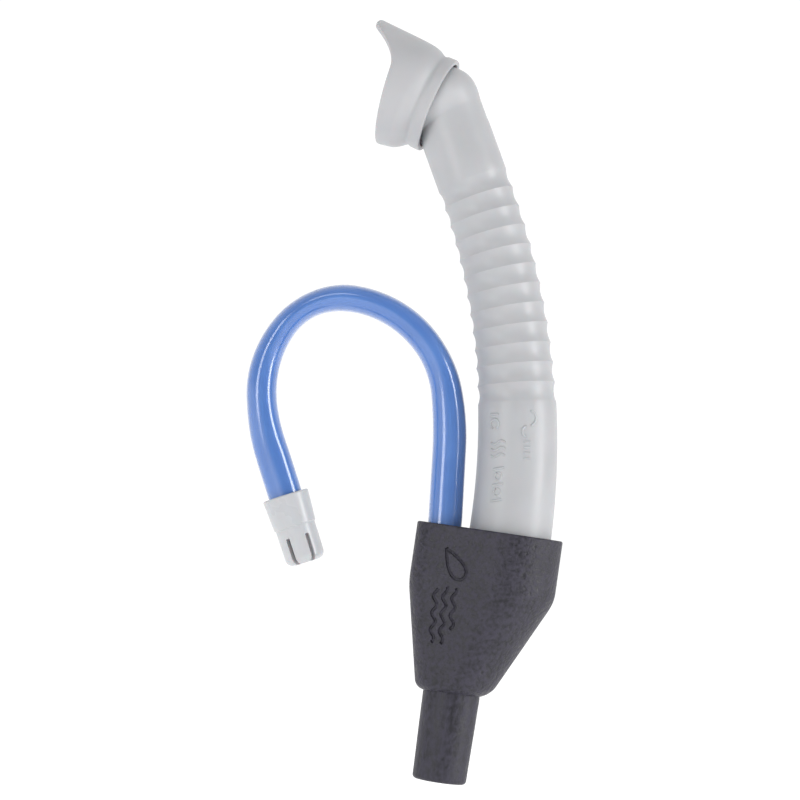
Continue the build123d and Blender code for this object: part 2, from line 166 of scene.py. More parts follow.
def skin(name, strips, loop=False, caps=False):
    """Joins rings into strips of quads: each strip is a list of rings, in millimetres."""
    build = bmesh.new()
    for rings in strips:
        rows = [[build.verts.new(point * MM) for point in points] for points in rings]
        pairs = list(zip(rows, rows[1:])) + ([(rows[-1], rows[0])] if loop else [])
        for low, high in pairs:
            for i in range(len(low)):
                j = (i + 1) % len(low)
                build.faces.new((low[i], low[j], high[j], high[i]))
        if caps:
            build.faces.new(rows[0][::-1])
            build.faces.new(rows[-1])
    if loop or caps:
        bmesh.ops.recalc_face_normals(build, faces=build.faces)
    mesh = bpy.data.meshes.new(name)
    build.to_mesh(mesh)
    build.free()
    piece = bpy.data.objects.new(name, mesh)
    bpy.context.scene.collection.objects.link(piece)
    return piece


def lathe(name, profile, origin, axis, start, count=96, caps=False):
    """Turns a profile of (radius, distance) round an axis: a closed profile, or one to cap."""
    side = axis.cross(start)
    rings = [ring(origin + axis * d, start, side, r, r, count) for r, d in profile]
    return skin(name, [rings], loop=not caps, caps=caps)


def rounded(profile, radii, segments=5):
    """Rounds corners of a closed profile; radii maps a corner's number to its radius."""
    points = []
    for number, corner in enumerate(profile):
        if number not in radii:
            points.append(corner)
            continue
        here = Vector(corner)
        before = (Vector(profile[number - 1]) - here).normalized()
        after = (Vector(profile[(number + 1) % len(profile)]) - here).normalized()
        half = before.angle(after) / 2
        centre = here + (before + after).normalized() * (radii[number] / math.sin(half))
        reach = radii[number] / math.tan(half)
        first, last = here + before * reach - centre, here + after * reach - centre
        for share in steps(0.0, 1.0, segments):
            spot = centre + first.lerp(last, share).normalized() * radii[number]
            points.append((spot.x, spot.y))
    return points


def settle(piece):
    """Turns the piece's modifiers into plain mesh."""
    graph = bpy.context.evaluated_depsgraph_get()
    mesh = bpy.data.meshes.new_from_object(piece.evaluated_get(graph))
    piece.modifiers.clear()
    piece.data = mesh


def cut(piece, cutter, crossing=False):
    """Cuts a piece with another mesh, which is used up; crossing is for one that meets itself."""
    step = piece.modifiers.new("boolean", "BOOLEAN")
    step.operation = "DIFFERENCE"
    step.solver = "EXACT"
    step.use_self = crossing
    step.object = cutter
    settle(piece)
    bpy.data.objects.remove(cutter)


def shade(piece, angle=35.0):
    """Smooth shading, with edges sharper than the angle kept crisp."""
    bpy.ops.object.select_all(action="DESELECT")
    piece.select_set(True)
    bpy.context.view_layer.objects.active = piece
    bpy.ops.object.shade_smooth_by_angle(angle=math.radians(angle))


def strokes(name, lines, radius):
    """Round strokes that follow lines of points, as one mesh."""
    curve = bpy.data.curves.new(name, "CURVE")
    curve.dimensions = "3D"
    curve.bevel_depth = radius * MM
    curve.bevel_resolution = 3
    curve.use_fill_caps = True
    for points in lines:
        spline = curve.splines.new("POLY")
        spline.points.add(len(points) - 1)
        for spot, point in zip(spline.points, points):
            spot.co = (*(point * MM), 1.0)
    drawn = bpy.data.objects.new(name + "_line", curve)
    bpy.context.scene.collection.objects.link(drawn)
    mesh = bpy.data.meshes.new_from_object(
        drawn.evaluated_get(bpy.context.evaluated_depsgraph_get())
    )
    bpy.data.objects.remove(drawn)
    piece = bpy.data.objects.new(name, mesh)
    bpy.context.scene.collection.objects.link(piece)
    return piece


# --- Materials ---
class Finish:
    """A node material in the making: a principled shader fed from object coordinates."""

    def __init__(self, name):
        self.material = bpy.data.materials.new(name)
        self.material.use_nodes = True
        self.nodes = self.material.node_tree.nodes
        self.links = self.material.node_tree.links
        self.shader = self.nodes["Principled BSDF"]
        self.coordinates = self.nodes.new("ShaderNodeTexCoord")
        self.bump = None

    def set(self, **values):
        for name, value in values.items():
            self.shader.inputs[name.replace("_", " ")].default_value = value

    def noise(self, scale, detail=2.0, stretch=(1.0, 1.0, 1.0)):
        mapping = self.nodes.new("ShaderNodeMapping")
        mapping.inputs["Scale"].default_value = stretch
        texture = self.nodes.new("ShaderNodeTexNoise")
        texture.inputs["Scale"].default_value = scale
        texture.inputs["Detail"].default_value = detail
        self.links.new(self.coordinates.outputs["Object"], mapping.inputs["Vector"])
        self.links.new(mapping.outputs["Vector"], texture.inputs["Vector"])
        return texture.outputs["Fac"]

    def mixed(self, first, second, share):
        """A mix of two values: share is the second's part."""
        mix = self.nodes.new("ShaderNodeMix")
        mix.inputs["Factor"].default_value = share
        self.links.new(first, mix.inputs["A"])
        self.links.new(second, mix.inputs["B"])
        return mix.outputs["Result"]

    def colour(self, source, dark, light, start=0.3, end=0.7):
        ramp = self.nodes.new("ShaderNodeValToRGB")
        for element, position, colour in zip(ramp.color_ramp.elements, (start, end), (dark, light)):
            element.position = position
            element.color = (*colour, 1.0)
        self.links.new(source, ramp.inputs["Fac"])
        self.links.new(ramp.outputs["Color"], self.shader.inputs["Base Color"])

    def rough(self, source, low, high):
        mapped = self.nodes.new("ShaderNodeMapRange")
        mapped.inputs["From Min"].default_value = 0.3
        mapped.inputs["From Max"].default_value = 0.7
        mapped.inputs["To Min"].default_value = low
        mapped.inputs["To Max"].default_value = high
        self.links.new(source, mapped.inputs["Value"])
        self.links.new(mapped.outputs["Result"], self.shader.inputs["Roughness"])

    def relief(self, source, strength, depth):
        """Adds a bump, over any bump already there; depth in millimetres."""
        bump = self.nodes.new("ShaderNodeBump")
        bump.inputs["Strength"].default_value = strength
        bump.inputs["Distance"].default_value = depth * MM
        self.links.new(source, bump.inputs["Height"])
        if self.bump is not None:
            self.links.new(self.bump, bump.inputs["Normal"])
        self.bump = bump.outputs["Normal"]
        self.links.new(self.bump, self.shader.inputs["Normal"])


def grained(name, dark, light, rough, scale, stretch, depth):
    """Dark moulded plastic with a fine spark-eroded grain and a slight drift of colour."""
    finish = Finish(name)
    grain = finish.noise(scale, 3.0, stretch)
    drift = finish.noise(160.0, 3.0)
    finish.colour(finish.mixed(grain, drift, 0.2), dark, light, 0.38, 0.62)
    finish.rough(grain, *rough)
    finish.relief(grain, 0.6, depth)
    finish.set(Specular_IOR_Level=0.45)
    return finish.material


def satin(name, dark, light, rough, scatter):
    """Pale satin plastic, faintly clouded, that lets a little light in."""
    finish = Finish(name)
    cloud = finish.noise(110.0, 3.0)
    pores = finish.noise(2800.0, 2.0)
    finish.colour(cloud, dark, light)
    finish.rough(cloud, *rough)
    finish.relief(cloud, 0.08, 0.25)
    finish.relief(pores, 0.12, 0.03)
    finish.set(Subsurface_Weight=scatter, Subsurface_Scale=0.003)
    return finish.material


def clear_blue(name):
    """Glossy tinted tubing: light passes through its wall, and the bore and wire show."""
    finish = Finish(name)
    cloud = finish.noise(90.0, 2.0)
    ripple = finish.noise(260.0, 1.0)
    finish.colour(cloud, (0.080, 0.215, 0.60), (0.11, 0.26, 0.66))
    finish.rough(cloud, 0.12, 0.17)
    finish.relief(ripple, 0.10, 0.12)
    finish.set(Transmission_Weight=0.38, IOR=1.45, Coat_Weight=1.0, Coat_Roughness=0.18)
    return finish.material


def drawn_wire(name):
    """Thin drawn metal wire."""
    finish = Finish(name)
    scratch = finish.noise(1800.0, 2.0)
    finish.colour(scratch, (0.62, 0.64, 0.68), (0.80, 0.82, 0.85))
    finish.rough(scratch, 0.22, 0.4)
    finish.set(Metallic=0.35)
    return finish.material


charcoal = grained("charcoal_grain", (0.0040, 0.0034, 0.0085), (0.031, 0.028, 0.045),
                   (0.36, 0.72), 1150.0, (1.0, 1.0, 1.0), 0.55)
stub_black = grained("stub_grain", (0.006, 0.0052, 0.0110), (0.029, 0.0265, 0.043),
                     (0.40, 0.68), 1150.0, (1.0, 1.0, 0.6), 0.26)
seal_rubber = grained("seal_rubber", (0.012, 0.012, 0.012), (0.03, 0.03, 0.03),
                      (0.6, 0.75), 1800.0, (1.0, 1.0, 1.0), 0.02)
cannula_grey = satin("cannula_grey", (0.37, 0.375, 0.39), (0.40, 0.405, 0.42), (0.36, 0.46), 0.1)
tip_white = satin("tip_white", (0.43, 0.44, 0.46), (0.46, 0.47, 0.485), (0.26, 0.34), 0.1)
tube_blue = clear_blue("tube_blue")
wire_metal = drawn_wire("wire_metal")


def dress(piece, material, slot, *nodes):
    """Gives a piece its material and hides the CAD nodes it stands for; the slot argument is not
    used.
    """
    piece.data.materials.clear()
    piece.data.materials.append(material)
    if nodes:
        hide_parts(*nodes)


# --- Camera, lights and floor ---
CAMERA_ROLL, CAMERA_LENS = math.radians(8.3), 136.4
CAMERA_POINT = Vector((-18.4, -600.0, 48.0))
CAMERA_TARGET = Vector((-18.4, 0.0, 73.3))
LIGHT_TARGET = Vector((-0.018, 0.0, 0.075))
FLOOR_Z, FLOOR_REACH = -0.03, 4.0


def place_camera():
    """A long lens in front of the object, rolled so that the object leans to the left."""
    location = CAMERA_POINT * MM
    target = CAMERA_TARGET * MM
    forward = (target - location).normalized()
    level = Vector((math.cos(CAMERA_ROLL), 0.0, math.sin(CAMERA_ROLL)))
    up = level.cross(forward).normalized()
    right = forward.cross(up)
    turn = Matrix((right, up, -forward)).transposed().to_4x4()
    camera = bpy.data.objects.new("camera", bpy.data.cameras.new("camera"))
    camera.data.lens = CAMERA_LENS
    camera.data.sensor_width = 36.0
    camera.matrix_world = Matrix.Translation(location) @ turn
    bpy.context.scene.collection.objects.link(camera)
    bpy.context.scene.camera = camera


def softbox(name, location, width, height, power):
    """A soft rectangular light that faces the middle of the object."""
    light = bpy.data.lights.new(name, "AREA")
    light.shape = "RECTANGLE"
    light.size = width
    light.size_y = height
    light.energy = power
    lamp = bpy.data.objects.new(name, light)
    lamp.location = location
    aim = LIGHT_TARGET - lamp.location
    lamp.rotation_euler = aim.to_track_quat("-Z", "Y").to_euler()
    bpy.context.scene.collection.objects.link(lamp)


def set_world():
    """A light tent: white behind the object, dimmer on the camera's side."""
    world = bpy.data.worlds.new("studio")
    world.use_nodes = True
    nodes, links = world.node_tree.nodes, world.node_tree.links
    coordinates = nodes.new("ShaderNodeTexCoord")
    split = nodes.new("ShaderNodeSeparateXYZ")
    fade = nodes.new("ShaderNodeMapRange")
    fade.interpolation_type = "SMOOTHSTEP"
    for name, value in (("From Min", -0.9), ("From Max", 0.85), ("To Min", 0.34), ("To Max", 1.06)):
        fade.inputs[name].default_value = value
    links.new(coordinates.outputs["Generated"], split.inputs["Vector"])
    links.new(split.outputs["Y"], fade.inputs["Value"])
    links.new(fade.outputs["Result"], nodes["Background"].inputs["Strength"])
    nodes["Background"].inputs["Color"].default_value = (1.0, 1.0, 1.0, 1.0)
    bpy.context.scene.world = world
    bpy.context.scene.view_settings.view_transform = "Standard"


def set_floor():
    """A pale floor well below the object."""
    build = bmesh.new()
    bmesh.ops.create_grid(build, x_segments=8, y_segments=8, size=FLOOR_REACH)
    mesh = bpy.data.meshes.new("floor")
    build.to_mesh(mesh)
    build.free()
    floor = bpy.data.objects.new("floor", mesh)
    floor.location = (0, 0, FLOOR_Z)
    bpy.context.scene.collection.objects.link(floor)
    paper = Finish("paper")
    fibre = paper.noise(30.0, 4.0)
    paper.colour(fibre, (0.90, 0.90, 0.90), (0.94, 0.94, 0.94))
    paper.rough(fibre, 0.85, 0.95)
    paper.set(Emission_Color=(1.0, 1.0, 1.0, 1.0), Emission_Strength=0.45)
    floor.data.materials.append(paper.material)


place_camera()
set_world()
set_floor()
softbox("left_box", (-0.46, -0.52, 0.10), 0.20, 0.60, 2.1)
softbox("top_box", (-0.20, -0.52, 0.56), 0.36, 0.16, 0.6)
softbox("right_box", (0.66, -0.26, 0.20), 0.20, 0.60, 3.6)


# --- Adapter housing: a skin round the hull of two circles ---
ARC_STEPS, FLAT_STEPS = 28, 30
COLUMNS = 2 * ARC_STEPS + ARC_STEPS + 2 * FLAT_STEPS
LIP_ROUNDING, LIP_ROUNDING_GAIN = 1.7, 0.9
TOP_ROUNDING = 0.4
# The radius of the bore round each seal, and each seal's groove as (foot, top, radius)
RECESS_RADIUS, SPIGOT_GROOVE = 5.65, (24.1, 26.3, 6.4)
CANNULA_SOCKET_RADIUS, CANNULA_GROOVE = 8.2, (40.5, 42.5, 9.08)
EJECTOR_SOCKET_RADIUS, EJECTOR_GROOVE = 3.45, (45.2, 47.2, 4.21)
# Each duct is (foot x, foot radius, top x, top radius, top z)
DUCTS = (
    (0.0, 4.4, CANNULA_X, 6.8, CANNULA_STOP_Z + 0.2),
    (-1.7, 2.3, EJECTOR_X, 2.3, EJECTOR_STOP_Z + 0.2),
)
MARK_RADIUS = 0.36
DROP_PLACE, DROP_TILT = (-3.3, 42.9), math.radians(35.0)
DROP_HALF_WIDTH, DROP_HALF_HEIGHT = 2.1, 3.4
# Each ripple is (x, top, foot)
RIPPLES = ((-6.1, 37.6, 27.0), (-4.3, 38.2, 27.0), (-2.5, 38.2, 30.0))
RIPPLE_SWAY, RIPPLE_RATE, RIPPLE_LEAN = 0.42, 1.9, 0.05
RIPPLE_TOP, RIPPLE_FOOT = 38.0, 27.0


def widening(z):
    """How far the housing has widened at a height: straight from the lip, eased into the head."""
    share = (z - LIP_Z) / (WAIST_Z - LIP_Z)
    ease = WAIST_EASE / (WAIST_Z - LIP_Z)
    if share <= 1 - ease:
        return share
    if share >= 1 + ease:
        return 1.0
    return 1 - (1 + ease - share) ** 2 / (4 * ease)


def hull_circles(z):
    """Centre and radius of the large and the small circle at a height."""
    share = widening(z)
    large = [low + (high - low) * share for low, high in zip(LIP_LARGE, BODY_LARGE)]
    small = [low + (high - low) * share for low, high in zip(LIP_SMALL, BODY_SMALL)]
    return large, small


def hull_point(column, z, inset=0.0):
    """One point of the outline at a height: columns run round both arcs and both flats."""
    (large_x, large_r), (small_x, small_r) = hull_circles(z)
    meet = math.acos((small_r - large_r) / (large_x - small_x))
    large_r, small_r = large_r - inset, small_r - inset

    def on_large(turn):
        return Vector((large_x + large_r * math.cos(turn), large_r * math.sin(turn), z))

    def on_small(turn):
        return Vector((small_x + small_r * math.cos(turn), small_r * math.sin(turn), z))

    if column <= 2 * ARC_STEPS:
        return on_large(meet * (column / ARC_STEPS - 1))
    column -= 2 * ARC_STEPS
    if column < FLAT_STEPS:
        return on_large(meet).lerp(on_small(meet), column / FLAT_STEPS)
    column -= FLAT_STEPS
    if column <= ARC_STEPS:
        return on_small(meet + 2 * (math.pi - meet) * column / ARC_STEPS)
    column -= ARC_STEPS
    return on_small(-meet).lerp(on_large(-meet), column / FLAT_STEPS)


def housing_rows():
    """Rows of the housing's skin, with its rounded lip and top edge."""
    left = BODY_SMALL[0] - BODY_SMALL[1]
    width = BODY_LARGE[0] + BODY_LARGE[1] - left
    lip_radii = []
    for column in range(COLUMNS):
        lean = (hull_point(column, WAIST_Z).x - left) / width
        lip_radii.append(LIP_ROUNDING + LIP_ROUNDING_GAIN * smooth(lean))
    rows = []
    for turn in steps(0.0, math.pi / 2, 7):
        rows.append([
            hull_point(i, LIP_Z + r * (1 - math.cos(turn)), r * (1 - math.sin(turn)))
            for i, r in enumerate(lip_radii)
        ])
    foot = WAIST_Z - WAIST_EASE
    for share in steps(0.0, 1.0, 12)[1:]:
        rows.append([
            hull_point(i, LIP_Z + r + (foot - LIP_Z - r) * share)
            for i, r in enumerate(lip_radii)
        ])
    head = WAIST_Z + WAIST_EASE
    levels = steps(foot, head, 10)[1:] + steps(head, TOP_Z - TOP_ROUNDING, 6)[1:]
    rows += [[hull_point(i, z) for i in range(COLUMNS)] for z in levels]
    for turn in steps(0.0, math.pi / 2, 4)[1:]:
        z = TOP_Z - TOP_ROUNDING * (1 - math.sin(turn))
        inset = TOP_ROUNDING * (1 - math.cos(turn))
        rows.append([hull_point(i, z, inset) for i in range(COLUMNS)])
    return rows


def front_point(x, z):
    """The point on the housing's front at x and z."""
    (large_x, large_r), (small_x, small_r) = hull_circles(z)
    reach = 0.0
    for share in steps(0.0, 1.0, 200):
        radius = small_r + (large_r - small_r) * share
        offset = x - (small_x + (large_x - small_x) * share)
        reach = max(reach, radius * radius - offset * offset)
    return Vector((x, -math.sqrt(reach), z))


def housing_marks():
    """A plain engraved mark: a slanted drop above three lines that ripple down the front."""
    flat = []
    for turn in steps(0.0, 2 * math.pi, 48):
        swell = math.sin(turn / 2) ** 1.3
        flat.append((DROP_HALF_WIDTH * math.sin(turn) * swell, DROP_HALF_HEIGHT * math.cos(turn)))
    drop = []
    for u, v in flat[:-1] + flat[:1]:
        x = DROP_PLACE[0] + u * math.cos(DROP_TILT) - v * math.sin(DROP_TILT)
        z = DROP_PLACE[1] + u * math.sin(DROP_TILT) + v * math.cos(DROP_TILT)
        drop.append(front_point(x, z))
    lines = [drop]
    for offset, top, foot in RIPPLES:
        ripple = []
        for z in steps(top, foot, 48):
            lean = (RIPPLE_TOP - z) * RIPPLE_LEAN
            sway = RIPPLE_SWAY * math.sin((z - RIPPLE_FOOT) * RIPPLE_RATE)
            ripple.append(front_point(offset + lean + sway, z))
        lines.append(ripple)
    return lines


def grooved(radius, groove):
    """The corners of a bore's profile where its seal's groove is."""
    foot, top, groove_radius = groove
    return [(radius, foot), (groove_radius, foot), (groove_radius, top), (radius, top)]


def make_housing():
    """The shell, cut by its journal recess, ducts, sockets and mark."""
    housing = skin("adapter_shell", [housing_rows()], caps=True)
    recess = [(6.0, LIP_Z - 1.0), (6.0, LIP_Z), (RECESS_RADIUS, LIP_Z + 0.35)]
    recess += grooved(RECESS_RADIUS, SPIGOT_GROOVE) + [(RECESS_RADIUS, CHAMBER_FLOOR_Z)]
    cannula_socket = [(CANNULA_SOCKET_RADIUS, CANNULA_STOP_Z)]
    cannula_socket += grooved(CANNULA_SOCKET_RADIUS, CANNULA_GROOVE)
    cannula_socket += [(CANNULA_SOCKET_RADIUS, TOP_Z - 0.2), (8.45, TOP_Z), (8.45, TOP_Z + 1.0)]
    ejector_socket = [(EJECTOR_SOCKET_RADIUS, EJECTOR_STOP_Z)]
    ejector_socket += grooved(EJECTOR_SOCKET_RADIUS, EJECTOR_GROOVE)
    ejector_socket += [(EJECTOR_SOCKET_RADIUS, TOP_Z - 0.15), (3.62, TOP_Z), (3.62, TOP_Z + 1.0)]
    for x, profile in ((0.0, recess), (CANNULA_X, cannula_socket), (EJECTOR_X, ejector_socket)):
        cut(housing, lathe("cutter", profile, Vector((x, 0, 0)), UP, RIGHT, caps=True))
    floor, turned = CHAMBER_FLOOR_Z - 0.2, Vector((0, 1, 0))
    for foot_x, foot_r, top_x, top_r, top_z in DUCTS:
        duct = [ring(Vector((foot_x, 0, floor)), RIGHT, turned, foot_r, foot_r),
                ring(Vector((top_x, 0, top_z)), RIGHT, turned, top_r, top_r)]
        cut(housing, skin("cutter", [duct], caps=True))
    cut(housing, strokes("cutter", housing_marks(), MARK_RADIUS), crossing=True)
    shade(housing)
    dress(housing, charcoal, "housing_charcoal", "adapter_housing")
    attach(housing, "housing")


def make_spigot():
    """The turned hose end, with the journal and snap bead that the housing hides."""
    profile = [(SPIGOT_BORE, 0.0), (SPIGOT_RADIUS, 0.0), (SPIGOT_RADIUS + 0.06, 4.0),
               (SPIGOT_SHOULDER_RADIUS - 0.12, 10.0), (SPIGOT_SHOULDER_RADIUS, LIP_Z - 0.35),
               (JOURNAL_RADIUS, LIP_Z), (JOURNAL_RADIUS, 24.4), (6.1, 24.8), (6.1, 25.2),
               (JOURNAL_RADIUS, 26.0), (JOURNAL_RADIUS, JOURNAL_TOP), (SPIGOT_BORE, JOURNAL_TOP)]
    profile = rounded(profile, {0: 0.25, 1: 0.75, 10: 0.3, 11: 0.2})
    spigot = lathe("spigot_stub", profile, Vector((0, 0, 0)), UP, RIGHT, count=128)
    shade(spigot, 30.0)
    dress(spigot, stub_black, "spigot_black", "outlet_spigot")
    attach(spigot, "spigot")


make_housing()
make_spigot()
for seal in ("spigot_seal", "cannula_seal", "ejector_seal"):
    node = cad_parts[seal]
    for place in node.material_slots:
        place.material = seal_rubber


# --- Suction cannula ---
ELBOW_CREASE, BORE_CREASE = 0.5, 0.9
# The swell of the elbow's outside; its start, rise and fall are shares of the way round
ELBOW_SWELL, SWELL_START, SWELL_RISE, SWELL_FALL = 1.35, 0.2, 0.62, 0.09
CANNULA_MARK_RADIUS, CANNULA_MARK_SUNK = 0.26, 0.06

yaw = math.radians(CANNULA_YAW)
cannula_lean = Vector((-math.cos(yaw), math.sin(yaw), 0.0))
cannula = Path(Vector((CANNULA_X, 0, CANNULA_FOOT_Z)), cannula_lean, CANNULA_RUNS)
cannula_side = cannula.side
elbow, tube_heading = cannula.at(cannula.length)


def elbow_heading(turn):
    """The heading part way round the elbow, after a turn towards the mouth."""
    angle = math.radians(CANNULA_BEND) + turn
    return cannula.heading(angle)


mouth = elbow_heading(ELBOW_TURN)
collar = elbow + mouth * COLLAR_OFFSET
mouth_up = mouth.cross(cannula_side)
if mouth_up.z < 0:
    mouth_up = -mouth_up


def outward(heading):
    """Square to a heading, towards the outside of the cannula's bend."""
    out = heading.cross(cannula_side)
    return out if out.z > 0 or out.dot(-cannula_lean) > 0 else -out


def cannula_radius(distance):
    """Outer radius: full size in the socket, then tapering to the elbow."""
    socket = TOP_Z - CANNULA_FOOT_Z
    taper = max(0.0, distance - socket) / (cannula.length - socket)
    return CANNULA_RADIUS + (CANNULA_END_RADIUS - CANNULA_RADIUS) * min(1.0, 1.25 * taper)


def cannula_ring(distance, inset):
    """A round section at a distance along the tube."""
    point, heading = cannula.at(distance)
    radius = cannula_radius(distance) - inset
    return ring(point, outward(heading), cannula_side, radius, radius)


def elbow_rings(radius, crease, swell=0.0, count=18):
    """Sections that fan round the elbow from a small crease on its inside.

    The swell fills the elbow out towards the shield's collar, and ends inside the collar.
    """
    reach = math.tan(ELBOW_TURN / 2) * (radius + crease)
    middle = outward(elbow_heading(ELBOW_TURN / 2))
    pivot = elbow - middle * ((radius + crease) / math.cos(ELBOW_TURN / 2))
    total = 2 * reach + radius * ELBOW_TURN
    rings = []
    for share in steps(0.0, 1.0, count):
        travelled = total * share
        rise = smooth((share - SWELL_START) / SWELL_RISE)
        extra = swell * rise * smooth((1.0 - share) / SWELL_FALL)
        if travelled < reach:
            outer = elbow - tube_heading * (reach - travelled) + outward(tube_heading) * radius
        elif travelled < total - reach:
            outer = elbow + outward(elbow_heading((travelled - reach) / radius)) * radius
        else:
            outer = elbow + mouth * (travelled - total + reach) + outward(mouth) * radius
        inner = pivot + outward(elbow_heading(ELBOW_TURN * share)) * crease
        outer += (outer - inner).normalized() * extra
        half = (outer - inner) / 2
        across = half.normalized()
        rings.append(ring(inner + half, across, cannula_side, half.length, radius + extra))
    return rings


def mouth_ring(distance, radius):
    """A round section square to the mouth's axis."""
    return ring(collar + mouth * distance, outward(mouth), cannula_side, radius, radius)


def rib_inset(distance):
    """Depth of the scallop between two ribs."""
    share = (distance - RIB_START) / RIB_PITCH % 1.0
    return RIB_DEPTH * (1 - abs(2 * share - 1) ** 1.8)


def make_cannula():
    """Tube, ribs, elbow and neck as one hollow skin."""
    outside = [cannula_ring(0.0, 0.35), cannula_ring(0.1, 0.1), cannula_ring(0.35, 0.0)]
    outside += [cannula_ring(d, 0.0) for d in steps(1.5, RIB_START, 26)]
    rib_end = RIB_START + RIB_COUNT * RIB_PITCH
    for d in steps(RIB_START, rib_end, RIB_COUNT * 10)[1:-1]:
        outside.append(cannula_ring(d, rib_inset(d)))
    outside += [cannula_ring(d, 0.0) for d in steps(rib_end, cannula.length - 5.5, 6)]
    outside += [cannula_ring(cannula.length - 4.2, cannula_radius(cannula.length) - NECK_RADIUS)]
    outside += elbow_rings(NECK_RADIUS, ELBOW_CREASE, swell=ELBOW_SWELL, count=36)
    neck = [(1.3, NECK_RADIUS), (3.1, NECK_RADIUS), (3.25, 7.2), (3.4, 7.42),
            (3.6, NECK_BEAD_RADIUS), (3.9, 7.3), (4.5, 6.85), (NECK_END, 6.6), (NECK_END, 5.75)]
    outside += [mouth_ring(distance, radius) for distance, radius in neck]
    inside = [cannula_ring(0.0, CANNULA_WALL - 0.1), cannula_ring(0.3, CANNULA_WALL)]
    inside += [cannula_ring(d, CANNULA_WALL) for d in steps(2.0, cannula.length - 4.0, 30)]
    inside += elbow_rings(NECK_RADIUS - CANNULA_WALL, BORE_CREASE)
    inside += [mouth_ring(NECK_END - 0.2, NECK_RADIUS - CANNULA_WALL)]
    tube = skin("cannula_body", [outside + inside[::-1]], loop=True)
    shade(tube, 28.0)
    dress(tube, cannula_grey, "cannula_grey", "cannula_tube")
    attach(tube, "cannula")


def cannula_surface(distance, around):
    """A point for a mark on the cannula: around is an arc length from the middle of the front."""
    point, heading = cannula.at(distance)
    radius = cannula_radius(distance)
    angle = around / radius
    across = outward(heading)
    front = cannula_side if cannula_side.y < 0 else -cannula_side
    out = across * math.sin(angle) + front * math.cos(angle)
    return point + out * (radius - CANNULA_MARK_SUNK)


def make_cannula_marks():
    """Small raised marks on the front: rings, ripples and bars with no meaning."""
    lines = []

    def arc(distance, around, radius, start, end, count=28):
        turns = steps(math.radians(start), math.radians(end), count)
        lines.append([
            cannula_surface(distance + radius * math.cos(t), around + radius * math.sin(t))
            for t in turns
        ])

    def bar(distance, around, length, slant=0.0):
        lines.append([
            cannula_surface(distance + slant * s, around + length * s)
            for s in steps(-0.5, 0.5, 8)
        ])

    for d in (28.6, 29.9, 31.2):
        lines.append([
            cannula_surface(d + 0.35 * math.sin(s * 2 * math.pi), -3.4 + 3.2 * s)
            for s in steps(-0.5, 0.5, 24)
        ])
    arc(35.0, -4.2, 0.95, -160, 160)
    bar(36.9, -4.2, 1.9)
    for number, d in enumerate(steps(19.6, 26.0, 4)):
        if number % 2:
            arc(d, -3.0, 0.75, 0, 340)
        else:
            bar(d, -3.0, 2.3, 0.5)
    arc(36.0, 2.9, 1.5, 20, 160)
    arc(33.4, 2.7, 1.1, 200, 340)
    for d in steps(28.2, 31.4, 3):
        bar(d, 2.6, 1.2)
    marks = strokes("cannula_marks", lines, CANNULA_MARK_RADIUS)
    shade(marks, 60.0)
    dress(marks, cannula_grey, "cannula_grey")
    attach(marks, "cannula")


make_cannula()
make_cannula_marks()


# --- Shield: collar, waist and flared cup that runs out into a beak ---
SHIELD_RADII = [(COLLAR_RIM, 9.62), (-0.1, 9.75), (1.7, 9.72), (2.1, 9.5), (2.5, 9.5), (3.0, 9.85),
                (3.8, 10.4), (5.0, 10.92), (7.5, 11.28), (18.4, 11.88)]
SHIELD_RISES = [(2.4, 0.0), (5.0, -0.35), (7.5, -0.45), (18.4, -0.6)]
MOUTH_REACH, MOUTH_SLANT, MOUTH_SOFTNESS = 9.75, 0.125, 0.35
BEAK_END, BEAK_START, BEAK_SPAN = 17.3, 2.0, 8.0
BEAK_REACH, BEAK_POWER = 6.8, 2.1
SHIELD_COLUMNS = 180


def mouth_edge(height):
    """How far the shield reaches along the mouth's axis, at a height above that axis."""
    reach = MOUTH_REACH + MOUTH_SLANT * height
    if height > BEAK_START:
        reach += BEAK_REACH * ((height - BEAK_START) / BEAK_SPAN) ** BEAK_POWER
    near, far = math.exp(-reach / MOUTH_SOFTNESS), math.exp(-BEAK_END / MOUTH_SOFTNESS)
    return -MOUTH_SOFTNESS * math.log(near + far)


def shield_point(distance, angle, inset):
    """A point of the shield: angle is measured round the mouth's axis from its top."""
    radius = read(distance, SHIELD_RADII) - inset
    rise = read(distance, SHIELD_RISES)
    out = mouth_up * math.cos(angle) + cannula_side * math.sin(angle)
    return collar + mouth * distance + mouth_up * rise + out * radius


